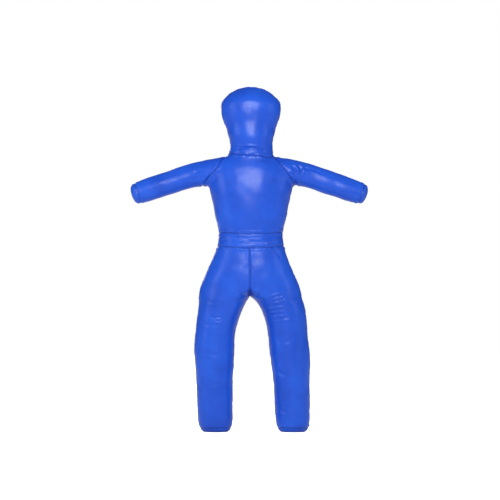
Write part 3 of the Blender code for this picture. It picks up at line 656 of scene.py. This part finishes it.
def leather(name, colour, dark, light):
    """Smooth coated leather: fine grain, cloudy colour and painted shade along the seams."""
    look = bpy.data.materials.new(name)
    look.use_nodes = True
    tree = look.node_tree
    link = tree.links.new
    shader = tree.nodes["Principled BSDF"]
    place = node(tree, "ShaderNodeTexCoord").outputs["Object"]

    cloud = node(tree, "ShaderNodeTexNoise", in_Scale=9.0, in_Detail=4.0, in_Roughness=0.6)
    fine = node(tree, "ShaderNodeTexNoise", in_Scale=160.0, in_Detail=3.0, in_Roughness=0.6)
    grain = node(tree, "ShaderNodeTexVoronoi", in_Scale=620.0, in_Randomness=1.0)
    grain.feature = "DISTANCE_TO_EDGE"
    pores = node(tree, "ShaderNodeTexNoise", in_Scale=1100.0, in_Detail=2.0, in_Roughness=0.5)
    for texture in (cloud, fine, grain, pores):
        link(place, texture.inputs["Vector"])

    tone = node(tree, "ShaderNodeValToRGB")
    tone.color_ramp.elements[0].position, tone.color_ramp.elements[0].color = 0.30, (*dark, 1)
    tone.color_ramp.elements[1].position, tone.color_ramp.elements[1].color = 0.72, (*light, 1)
    middle = tone.color_ramp.elements.new(0.5)
    middle.color = (*colour, 1)
    link(cloud.outputs["Fac"], tone.inputs["Fac"])
    # Painted shade: the leather is mixed towards a darker blue near the seams, where their valleys lie in shade
    seam = node(tree, "ShaderNodeAttribute", attribute_name="seam")
    share = node(tree, "ShaderNodeMapRange")
    share.inputs["From Min"].default_value = 0.35
    share.inputs["From Max"].default_value = 1.0
    share.inputs["To Max"].default_value = 0.65
    link(seam.outputs["Fac"], share.inputs["Value"])
    seam_shade_mix = node(tree, "ShaderNodeMix", data_type="RGBA", blend_type="MIX")
    # The darker blue of the painted seam shade
    seam_shade_mix.inputs[7].default_value = (0.004, 0.018, 0.150, 1)
    link(share.outputs["Result"], seam_shade_mix.inputs[0])
    link(tone.outputs["Color"], seam_shade_mix.inputs[6])
    link(seam_shade_mix.outputs[2], shader.inputs["Base Color"])

    rough = node(tree, "ShaderNodeMapRange")
    rough.inputs["From Min"].default_value, rough.inputs["From Max"].default_value = 0.3, 0.7
    rough.inputs["To Min"].default_value, rough.inputs["To Max"].default_value = 0.32, 0.44
    link(fine.outputs["Fac"], rough.inputs["Value"])
    link(rough.outputs["Result"], shader.inputs["Roughness"])

    crease = node(tree, "ShaderNodeMath", operation="MULTIPLY")
    crease.inputs[1].default_value = 0.5
    link(grain.outputs["Distance"], crease.inputs[0])
    total = node(tree, "ShaderNodeMath", operation="ADD")
    link(crease.outputs[0], total.inputs[0])
    soft = node(tree, "ShaderNodeMath", operation="MULTIPLY")
    soft.inputs[1].default_value = 0.35
    link(fine.outputs["Fac"], soft.inputs[0])
    link(soft.outputs[0], total.inputs[1])
    both = node(tree, "ShaderNodeMath", operation="ADD")
    tiny = node(tree, "ShaderNodeMath", operation="MULTIPLY")
    tiny.inputs[1].default_value = 0.12
    link(pores.outputs["Fac"], tiny.inputs[0])
    link(total.outputs[0], both.inputs[0])
    link(tiny.outputs[0], both.inputs[1])
    bump = node(tree, "ShaderNodeBump", in_Strength=0.16, in_Distance=0.0012)
    link(both.outputs[0], bump.inputs["Height"])
    link(bump.outputs["Normal"], shader.inputs["Normal"])

    shader.inputs["IOR"].default_value = 1.44
    shader.inputs["Coat Weight"].default_value = 0.10
    shader.inputs["Coat Roughness"].default_value = 0.28
    shader.inputs["Sheen Weight"].default_value = 0.0
    return look


BLUE = leather("blue_leather", (0.0030, 0.076, 0.590), (0.0020, 0.060, 0.505), (0.0055, 0.096, 0.660))
METAL = bpy.data.materials.new("nickel")
TAPE = bpy.data.materials.new("woven_tape")


def make_small_looks():
    """Zip tape and zip metal."""
    for look, colour, rough, metallic, scale, depth in (
            (METAL, (0.40, 0.40, 0.42), 0.34, 1.0, 700.0, 0.0002),
            (TAPE, (0.010, 0.045, 0.380), 0.85, 0.0, 0.0, 0.0004)):
        look.use_nodes = True
        tree = look.node_tree
        link = tree.links.new
        shader = tree.nodes["Principled BSDF"]
        shader.inputs["Metallic"].default_value = metallic
        place = node(tree, "ShaderNodeTexCoord").outputs["Object"]
        if scale:
            texture = node(tree, "ShaderNodeTexNoise", in_Scale=scale, in_Detail=2.0)
        else:
            texture = node(tree, "ShaderNodeTexWave", in_Scale=520.0, in_Distortion=1.5)
            texture.bands_direction = "DIAGONAL"
        value = texture.outputs["Fac"]
        link(place, texture.inputs["Vector"])
        tone = node(tree, "ShaderNodeMix", data_type="RGBA")
        tone.inputs[6].default_value = (*[c * 0.75 for c in colour], 1)
        tone.inputs[7].default_value = (*[min(1, c * 1.2) for c in colour], 1)
        link(value, tone.inputs[0])
        link(tone.outputs[2], shader.inputs["Base Color"])
        spread = node(tree, "ShaderNodeMapRange")
        spread.inputs["To Min"].default_value = rough * 0.85
        spread.inputs["To Max"].default_value = rough * 1.15
        link(value, spread.inputs["Value"])
        link(spread.outputs["Result"], shader.inputs["Roughness"])
        bump = node(tree, "ShaderNodeBump", in_Strength=0.4, in_Distance=depth)
        link(value, bump.inputs["Height"])
        link(bump.outputs["Normal"], shader.inputs["Normal"])


# Panels

def turned_in(made, piece):
    """Gives a panel's open edges a turned-in hem, and a shoulder a length that runs on inside the torso."""
    made.normal_update()
    rim = [e for e in made.edges if e.is_boundary]
    start = {v: v.normal.copy() for e in rim for v in e.verts}
    shoulder = piece.startswith("shoulder")
    torso = piece.startswith("torso")
    sign = -1.0 if piece.endswith("right") else 1.0
    plans = {}
    for vertex, normal in start.items():
        p = np.array([vertex.co])
        at_armhole = abs(armhole(p)[0]) < 0.012 and abs(vertex.co.x) > 0.09 and vertex.co.z > 0.95
        if shoulder and at_armhole:
            centre = Vector(ARMHOLE_CENTRE) * Vector((sign, 1, 1))
            plans[vertex] = [vertex.co.lerp(centre, 0.05 + 0.035 * k) - Vector((sign * reach, 0, 0))
                             for k, reach in enumerate((0.004, 0.012, 0.022, 0.034, 0.046))]
        elif torso and at_armhole:
            side = 1.0 if vertex.co.x > 0 else -1.0
            centre = Vector(ARMHOLE_CENTRE) * Vector((side, 1, 1))
            inward = Vector(ARMHOLE_INWARD) * Vector((side, 1, 1))
            plans[vertex] = [vertex.co - normal * 0.003 + inward * 0.001,
                             vertex.co.lerp(centre, 0.14) + inward * 0.004,
                             vertex.co.lerp(centre, 0.30) + inward * 0.008]
        else:
            plans[vertex] = [vertex.co - normal * step for step in HEM]
    row = {v: v for v in start}
    depth = max(len(p) for p in plans.values())
    for k in range(depth):
        new = {}
        for vertex, plan in plans.items():
            if k < len(plan):
                copy = made.verts.new(plan[k])
                # The turned-in hem gets the full painted seam shade
                copy[made.verts.layers.float["seam"]] = 1.0
                new[vertex] = copy
        for edge in rim:
            a, b = edge.verts
            if a in new and b in new:
                first, second = (b, a) if edge.link_loops[0].vert == a else (a, b)
                face = made.faces.new((row[first], row[second], new[second], new[first]))
                face.smooth = True
        row.update(new)


def split_skin(made):
    """One object for each panel."""
    seam = made.verts.layers.float["seam"]
    found, groups = {}, {}
    for face in made.faces:
        groups.setdefault(face.material_index - 1, []).append(face)
    for number, faces in groups.items():
        if number < 0:
            continue
        name = PIECES[number]
        part = bmesh.new()
        layer = part.verts.layers.float.new("seam")
        copies = {}
        for face in faces:
            corners = []
            for vertex in face.verts:
                if vertex not in copies:
                    copies[vertex] = part.verts.new(vertex.co)
                    copies[vertex][layer] = vertex[seam]
                corners.append(copies[vertex])
            part.faces.new(corners).smooth = True
        shading = [Vector(v.normal) for v in copies]
        part.verts.index_update()
        count = len(shading)
        turned_in(part, name)
        mesh = bpy.data.meshes.new(name)
        part.normal_update()
        part.to_mesh(mesh)
        own = [Vector(v.normal) for v in part.verts]
        part.free()
        mesh.materials.append(BLUE)
        mesh.shade_smooth()
        mesh.normals_split_custom_set_from_vertices(shading + own[count:])
        panel = bpy.data.objects.new(name, mesh)
        bpy.context.scene.collection.objects.link(panel)
        found[name] = panel
    return found


make_small_looks()
skin = make_skin()
panels = split_skin(skin)
skin.free()

STANDS_FOR = {
    "head_front": ("head_cover_front", "head_fill"), "head_back": ("head_cover_back",),
    "torso_front": ("torso_cover_front", "torso_fill"), "torso_back_left": ("torso_cover_back_left",),
    "torso_back_right": ("torso_cover_back_right",), "belt": ("waistband", "pelvis_fill"),
}
for side in ("left", "right"):
    STANDS_FOR[f"shoulder_{side}"] = (f"shoulder_cover_{side}", f"shoulder_fill_{side}")
    STANDS_FOR[f"sleeve_{side}"] = (f"arm_cover_{side}", f"arm_fill_{side}")
    STANDS_FOR[f"arm_cap_{side}"] = (f"arm_end_cap_{side}",)
    STANDS_FOR[f"thigh_front_{side}"] = (f"trouser_front_{side}", f"thigh_fill_{side}")
    STANDS_FOR[f"thigh_back_{side}"] = (f"trouser_back_{side}",)
    STANDS_FOR[f"shin_front_{side}"] = (f"shin_cover_front_{side}", f"shin_fill_{side}")
    STANDS_FOR[f"shin_back_{side}"] = (f"shin_cover_back_{side}",)
    STANDS_FOR[f"foot_{side}"] = (f"sole_{side}",)

NECK_ZONE = ((0, 0, 1.136), (0, 0, 1.212))
WAIST_ZONE = ((0, 0, 0.847), (0, 0, 0.745))
KNEE_ZONE = ((0, 0, 0.440), (0, 0, 0.320))
HIP_TILT, HIP_LENGTH = math.radians(20), 0.112
RAISE_TILT, RAISE_ZONE = math.radians(5), (0.230, 0.300)
SWING_ZONE = (0.058, 0.114)
for name, panel in panels.items():
    side = "right" if name.endswith("right") else "left"
    sign = -1.0 if side == "right" else 1.0
    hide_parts(*STANDS_FOR[name])
    if name.startswith("head"):
        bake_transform(panel, "torso", "head", *NECK_ZONE)
    elif name.startswith("torso") or name == "belt":
        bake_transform(panel, "torso", "pelvis", *WAIST_ZONE)
    elif name.startswith("thigh"):
        start = Vector((0, 0, CROTCH_Z))
        way = Vector((sign * math.sin(HIP_TILT), 0, -math.cos(HIP_TILT)))
        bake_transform(panel, "pelvis", f"thigh_{side}", start=start, end=start + way * HIP_LENGTH)
    elif name.startswith("shin"):
        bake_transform(panel, f"thigh_{side}", f"shin_{side}", *KNEE_ZONE)
    elif name.startswith("foot"):
        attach(panel, f"shin_{side}")
    elif name.startswith("shoulder"):
        way = Vector((sign * math.cos(RAISE_TILT), 0, math.sin(RAISE_TILT)))
        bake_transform(panel, "torso", f"shoulder_{side}", start=way * RAISE_ZONE[0], end=way * RAISE_ZONE[1])
    elif name.startswith("sleeve"):
        centre, way = SHOULDER * (sign, 1, 1), ARM_OUT * (sign, 1, 1)
        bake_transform(panel, f"shoulder_{side}", f"arm_{side}", start=centre + way * SWING_ZONE[0],
                 end=centre + way * SWING_ZONE[1])
    else:
        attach(panel, f"arm_{side}")

for name in ("zip_tape_left", "zip_tape_right"):
    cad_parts[name].data.materials.clear()
    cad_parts[name].data.materials.append(TAPE)
for name in ("zip_teeth_left", "zip_teeth_right", "zip_top_stop_left", "zip_top_stop_right", "zip_bottom_stop",
             "zip_slider", "zip_pull"):
    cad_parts[name].data.materials.clear()
    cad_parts[name].data.materials.append(METAL)


# Stage

def plain(name, colour, glow):
    look = bpy.data.materials.new(name)
    look.use_nodes = True
    shader = look.node_tree.nodes["Principled BSDF"]
    shader.inputs["Base Color"].default_value = (*colour, 1)
    shader.inputs["Roughness"].default_value = 0.9
    shader.inputs["Emission Color"].default_value = (1, 1, 1, 1)
    shader.inputs["Emission Strength"].default_value = glow
    return look


def make_stage():
    bpy.ops.mesh.primitive_plane_add(size=16.0, location=(0, 0, -0.0005))
    floor = bpy.context.object
    floor.name = "floor"
    look = plain("pale_floor", (0.7, 0.7, 0.7), 1.0)
    tree = look.node_tree
    tree.links.new(node(tree, "ShaderNodeLightPath").outputs["Is Camera Ray"],
                   tree.nodes["Principled BSDF"].inputs["Emission Strength"])
    floor.data.materials.append(look)
    world = bpy.data.worlds.new("studio")
    bpy.context.scene.world = world
    world.use_nodes = True
    tree = world.node_tree
    backdrop = tree.nodes["Background"]
    backdrop.inputs["Color"].default_value = (1, 1, 1, 1)
    backdrop.inputs["Strength"].default_value = 1.0
    room = node(tree, "ShaderNodeBackground")
    room.inputs["Color"].default_value = (0.95, 0.97, 1.0, 1)
    room.inputs["Strength"].default_value = 0.78
    dim = node(tree, "ShaderNodeBackground")
    dim.inputs["Strength"].default_value = 0.07
    path = node(tree, "ShaderNodeLightPath")
    shine = node(tree, "ShaderNodeMixShader")
    mix = node(tree, "ShaderNodeMixShader")
    tree.links.new(path.outputs["Is Glossy Ray"], shine.inputs[0])
    tree.links.new(room.outputs[0], shine.inputs[1])
    tree.links.new(dim.outputs[0], shine.inputs[2])
    tree.links.new(path.outputs["Is Camera Ray"], mix.inputs[0])
    tree.links.new(shine.outputs[0], mix.inputs[1])
    tree.links.new(backdrop.outputs[0], mix.inputs[2])
    tree.links.new(mix.outputs[0], tree.nodes["World Output"].inputs["Surface"])
    for name, place, size, power in (("front", (-0.02, -2.6, 1.80), (0.70, 0.95), 36.0),
                                     ("left", (-3.0, -1.8, 1.5), (0.8, 1.6), 15.0),
                                     ("right", (3.0, -1.4, 1.5), (0.8, 1.6), 8.0),
                                     ("back", (-0.6, 4.0, 1.2), (2.4, 2.0), 40.0)):
        light = bpy.data.lights.new(name, "AREA")
        light.shape = "RECTANGLE"
        light.size, light.size_y = size
        light.energy = power
        lamp = bpy.data.objects.new(name, light)
        bpy.context.scene.collection.objects.link(lamp)
        lamp.location = place
        lamp.rotation_euler = (Vector((0, 0, 0.8)) - Vector(place)).to_track_quat("-Z", "Y").to_euler()


def make_camera():
    """Level and straight on, through a long lens."""
    data = bpy.data.cameras.new("camera")
    data.lens, data.sensor_width = 200.0, 36.0
    width, centre = 2.03, Vector((0.0005, 0.0, 0.737))
    camera = bpy.data.objects.new("camera", data)
    bpy.context.scene.collection.objects.link(camera)
    camera.location = centre - Vector((0, width / 36.0 * 200.0, 0))
    camera.rotation_euler = (math.radians(90), 0, 0)
    bpy.context.scene.camera = camera


make_stage()
make_camera()
bpy.context.scene.view_settings.view_transform = "Standard"
